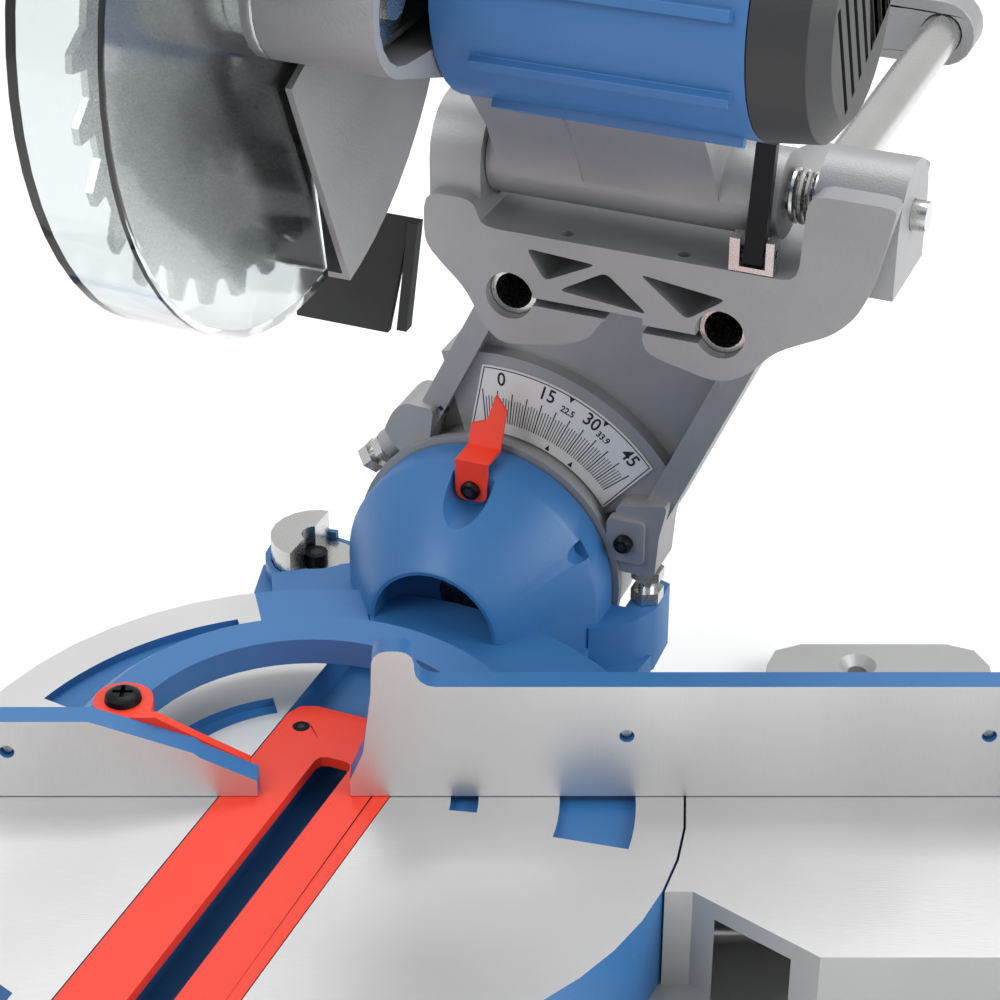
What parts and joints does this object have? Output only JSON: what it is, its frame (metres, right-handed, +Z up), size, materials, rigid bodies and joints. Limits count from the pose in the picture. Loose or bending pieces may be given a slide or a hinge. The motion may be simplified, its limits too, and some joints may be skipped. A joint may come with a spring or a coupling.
{
  "type": "sliding compound mitre saw",
  "caption": "Sliding compound mitre saw on its own feet: swivelling turntable, tilting arm, sliding rails, chopping head, retracting clear guard, fence and table extensions.",
  "frame": {"origin": "on the mitre axis at the underside of the base's centre boss, with the rubber feet standing 3 mm lower: z = 0 is the bench", "axes": "+X to the right along the fence, +Y from the front of the table to behind the fence, +Z up"},
  "size_m": [0.66, 0.7922, 0.6384],
  "materials": {
    "cast_aluminium": "sand-cast, satin",
    "machined_aluminium": "machined, fine lines",
    "blue_paint": "satin powder coat",
    "red_plastic": "satin moulded",
    "red_paint": "satin paint on sheet steel",
    "steel": "zinc plated or ground",
    "black_steel": "black oxide",
    "black_plastic": "moulded",
    "rubber": "matte",
    "clear_plastic": "clear polycarbonate",
    "blue_plastic": "fine texture"
  },
  "bodies": {
    "base": {"base_casting": "cast_aluminium", "foot_pad_1": "rubber", "foot_pad_2": "rubber", "foot_pad_3": "rubber", "foot_pad_4": "rubber", "mitre_scale": "machined_aluminium", "fence": "blue_paint", "fence_edge_guide": "red_plastic", "fence_guide_screw": "black_steel"},
    "right_extension": {"table_extension_right": "machined_aluminium"},
    "left_extension": {"table_extension_left": "machined_aluminium"},
    "right_extension_knob": {"extension_knob_right": "black_plastic"},
    "left_extension_knob": {"extension_knob_left": "black_plastic"},
    "turntable": {"turntable_casting": "blue_paint", "kerf_insert": "red_plastic", "mitre_pivot_bolt": "steel", "bevel_pointer": "red_paint", "bevel_pointer_screw": "black_steel", "mitre_pointer": "red_plastic"},
    "mitre_knob": {"mitre_lock_knob": "black_plastic"},
    "detent": {"detent_lever": "steel"},
    "turret": {"turret_stop": "steel", "turret_screw": "black_steel"},
    "tilt": {"tilt_arm": "cast_aluminium", "bevel_scale": "machined_aluminium", "stop_bolt_left": "steel", "stop_nut_left": "steel", "stop_bolt_right": "steel", "stop_nut_right": "steel", "stop_lock_screw": "black_steel", "bevel_pivot_bolt": "steel", "rail_bush_left": "black_plastic", "rail_bush_right": "black_plastic"},
    "bevel_lever": {"bevel_lock_lever": "black_plastic"},
    "slide_knob": {"slide_lock_knob": "black_plastic"},
    "carriage": {"rail_left": "steel", "rail_right": "steel", "head_bracket": "cast_aluminium", "rail_end_tie": "cast_aluminium", "hinge_pin": "steel", "depth_stop_fork": "steel", "torsion_spring": "steel"},
    "depth_bar": {"depth_stop_bar": "black_steel"},
    "head": {"head_casting": "cast_aluminium", "upper_guard": "cast_aluminium", "dust_chute": "black_plastic", "drive_belt": "rubber", "motor_housing": "blue_plastic", "motor_end_cap": "black_plastic", "handle": "blue_plastic", "rubber_flap": "rubber"},
    "guard": {"lower_guard": "clear_plastic"},
    "blade_set": {"saw_blade": "steel", "spindle": "steel", "outer_flange": "steel", "arbor_bolt": "steel"},
    "rotor": {"motor_rotor": "steel"},
    "trigger": {"trigger": "black_plastic"},
    "lock_off": {"lock_off_button": "red_plastic"},
    "spindle_lock": {"spindle_lock_button": "black_plastic"}
  },
  "joints": [
    {"name": "mitre_swivel", "type": "hinge", "parent": "base", "child": "turntable", "pos_m": [0, 0, 0.082], "axis": [0, 0, 1], "range_deg": [-24.5, 52.5]},
    {"name": "bevel_tilt", "type": "hinge", "parent": "turntable", "child": "tilt", "pos_m": [0.03827, 0.09239, 0.082], "axis": [-0.3827, -0.9239, 0], "range_deg": [0, 47]},
    {"name": "head_slide", "type": "slide", "parent": "tilt", "child": "carriage", "axis": [-0.3827, -0.9239, 0], "range_m": [0, 0.2]},
    {"name": "head_chop", "type": "hinge", "parent": "carriage", "child": "head", "pos_m": [0.06506, 0.15706, 0.294], "axis": [0.9239, -0.3827, 0], "range_deg": [0, 66], "stiffness_Nm_per_rad": 7.5, "springref_deg": -114.59, "deforming": ["torsion_spring"]},
    {"name": "guard_retract", "type": "hinge", "parent": "head", "child": "guard", "pos_m": [-0.00515, -0.01243, 0.42577], "axis": [0.9239, -0.3827, 0], "range_deg": [0, 165]},
    {"name": "blade_spin", "type": "hinge", "parent": "head", "child": "blade_set", "pos_m": [-0.00515, -0.01243, 0.42577], "axis": [0.9239, -0.3827, 0], "continuous": true},
    {"name": "motor_spin", "type": "hinge", "parent": "head", "child": "rotor", "pos_m": [0.0177, 0.04273, 0.41952], "axis": [0.9239, -0.3827, 0], "continuous": true},
    {"name": "trigger_press", "type": "slide", "parent": "head", "child": "trigger", "axis": [0.3496, 0.844, 0.4067], "range_m": [0, 0.004], "stiffness_N_per_m": 800, "springref_m": -0.002},
    {"name": "lock_off_press", "type": "slide", "parent": "head", "child": "lock_off", "axis": [-0.9239, 0.3827, 0], "range_m": [0, 0.004], "stiffness_N_per_m": 500, "springref_m": -0.001},
    {"name": "spindle_lock_press", "type": "slide", "parent": "head", "child": "spindle_lock", "axis": [0.1557, 0.3758, -0.9135], "range_m": [0, 0.004], "stiffness_N_per_m": 800, "springref_m": -0.001},
    {"name": "mitre_lock_turn", "type": "hinge", "parent": "turntable", "child": "mitre_knob", "pos_m": [-0.12629, -0.30488, 0.022], "axis": [0.3827, 0.9239, 0], "range_deg": [0, 180]},
    {"name": "detent_lift", "type": "hinge", "parent": "turntable", "child": "detent", "pos_m": [-0.1083, -0.26146, 0.0435], "axis": [0.9239, -0.3827, 0], "range_deg": [0, 2.5], "stiffness_Nm_per_rad": 20, "springref_deg": -1.15},
    {"name": "turret_turn", "type": "hinge", "parent": "turntable", "child": "turret", "pos_m": [-0.00859, 0.20921, 0.058], "axis": [0, 0, 1], "range_deg": [0, 75]},
    {"name": "bevel_lock_turn", "type": "hinge", "parent": "tilt", "child": "bevel_lever", "pos_m": [0.09299, 0.2245, 0.082], "axis": [0.3827, 0.9239, 0], "range_deg": [0, 45]},
    {"name": "slide_lock_turn", "type": "hinge", "parent": "tilt", "child": "slide_knob", "pos_m": [0.23425, 0.17357, 0.2425], "axis": [0.9239, -0.3827, 0], "range_deg": [0, 180]},
    {"name": "depth_stop_swing", "type": "hinge", "parent": "carriage", "child": "depth_bar", "pos_m": [0.17505, 0.08552, 0.279], "axis": [0.9239, -0.3827, 0], "range_deg": [0, 35]},
    {"name": "right_extension_slide", "type": "slide", "parent": "base", "child": "right_extension", "axis": [1, 0, 0], "range_m": [0, 0.15]},
    {"name": "left_extension_slide", "type": "slide", "parent": "base", "child": "left_extension", "axis": [-1, 0, 0], "range_m": [0, 0.15]},
    {"name": "right_extension_lock", "type": "hinge", "parent": "base", "child": "right_extension_knob", "pos_m": [0.2, -0.1, 0.016], "axis": [0, 1, 0], "range_deg": [0, 180]},
    {"name": "left_extension_lock", "type": "hinge", "parent": "base", "child": "left_extension_knob", "pos_m": [-0.2, -0.1, 0.016], "axis": [0, 1, 0], "range_deg": [0, 180]}
  ],
  "couplings": [
    {"joint": "guard_retract", "follows": "head_chop", "ratio": 2.5},
    {"joint": "motor_spin", "follows": "blade_spin", "ratio": 1.5455}
  ]
}
